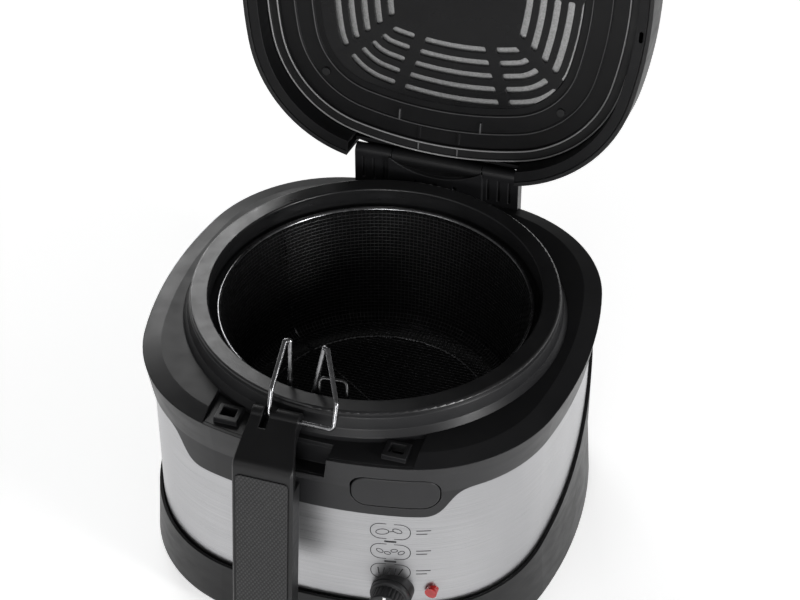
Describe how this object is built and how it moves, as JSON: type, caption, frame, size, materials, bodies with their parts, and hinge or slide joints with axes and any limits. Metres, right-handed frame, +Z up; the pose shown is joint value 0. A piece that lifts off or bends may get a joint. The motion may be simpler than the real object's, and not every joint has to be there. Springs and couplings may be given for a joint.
{
  "type": "deep fryer",
  "caption": "Compact electric deep fryer with hinged filter lid, lift-out wire basket, folding handle, thermostat knob and push-button lid release.",
  "frame": {"origin": "on the table, under the middle of the whole object with its lid open and handle hanging", "axes": "+Z up, +Y towards the hinge at the back, +X to the right seen from the front"},
  "size_m": [0.264, 0.3658, 0.4311],
  "materials": {
    "black_plastic": "moulded satin black",
    "charcoal_plastic": "fine-grained satin charcoal",
    "button_plastic": "satin",
    "handle_plastic": "fine-grained satin black",
    "liner_plastic": "satin dark grey",
    "soft_grip": "diamond pattern",
    "gloss_black": "polished",
    "brushed_steel": "brushed round the body",
    "nonstick": "non-stick coating",
    "zinc_steel": "zinc plated",
    "cast_aluminium": "as cast",
    "element_steel": "heat-tinted",
    "steel_fixings": "plain",
    "copper_bulb": "drawn copper",
    "control_body": "phenolic and ceramic",
    "lamp_glass": "clear",
    "red_lens": "translucent red",
    "white_mark": "white",
    "basket_wire": "woven wire",
    "chrome_wire": "bright",
    "dark_wire": "dark",
    "grey_silicone": "matt",
    "filter_steel": "fine woven",
    "filter_felt": "felt",
    "rubber_feet": "matt"
  },
  "bodies": {
    "housing": {"base_shell": "black_plastic", "base_plate": "zinc_steel", "base_screws": "steel_fixings", "foot_pads": "rubber_feet", "tie_screws": "steel_fixings", "steel_band": "brushed_steel", "top_collar": "charcoal_plastic", "bowl_collar": "charcoal_plastic", "hook_deck": "charcoal_plastic", "notch_liner": "charcoal_plastic", "bowl": "nonstick", "heat_spreader": "cast_aluminium", "heater_ring": "element_steel", "heat_shield": "zinc_steel", "shield_posts": "steel_fixings", "thermostat": "control_body", "thermostat_bulb": "copper_bulb", "capillary": "copper_bulb", "thermal_fuse": "control_body", "terminal_block": "control_body", "pilot_lamp": "lamp_glass", "lamp_lens": "red_lens", "knob_plate": "black_plastic", "cord_gland": "black_plastic", "hinge_bracket": "charcoal_plastic", "hinge_pin": "steel_fixings", "latch_spring": "steel_fixings"},
    "release": {"latch_button": "button_plastic", "latch_bar": "black_plastic"},
    "control": {"thermostat_knob": "button_plastic", "knob_insert": "white_mark", "knob_shaft": "steel_fixings"},
    "basket": {"basket_mesh": "basket_wire", "basket_rim": "chrome_wire", "basket_base_ring": "chrome_wire", "basket_ribs": "chrome_wire", "basket_frame": "chrome_wire", "basket_loop": "dark_wire"},
    "handle": {"handle_body": "handle_plastic", "handle_insert": "soft_grip", "handle_back": "handle_plastic", "handle_screws": "steel_fixings"},
    "lid": {"lid_shell": "black_plastic", "lid_liner": "liner_plastic", "liner_deck": "liner_plastic", "arch_shroud": "liner_plastic", "lid_gasket": "grey_silicone", "filter_cover": "gloss_black", "filter_mesh": "filter_steel", "filter_pad": "filter_felt", "vent_cover": "black_plastic", "lid_hooks": "liner_plastic", "lid_hinge_arm": "black_plastic", "lid_screws": "steel_fixings"}
  },
  "joints": [
    {"name": "lid_hinge", "type": "hinge", "parent": "housing", "child": "lid", "pos_m": [0, 0.1064, 0.1765], "axis": [-1, 0, 0], "range_deg": [-100.6, 0]},
    {"name": "release_push", "type": "slide", "parent": "housing", "child": "release", "axis": [0, 1, 0], "range_m": [0, 0.003], "stiffness_N_per_m": 900},
    {"name": "thermostat_turn", "type": "hinge", "parent": "housing", "child": "control", "pos_m": [0.05, -0.1463, 0.0515], "axis": [0, 1, 0], "range_deg": [0, 270]},
    {"name": "basket_lift", "type": "slide", "parent": "housing", "child": "basket", "axis": [0, 0, 1], "range_m": [0, 0.13]},
    {"name": "handle_fold", "type": "hinge", "parent": "basket", "child": "handle", "pos_m": [0, -0.1391, 0.165], "axis": [-1, 0, 0], "range_deg": [0, 95]}
  ]
}
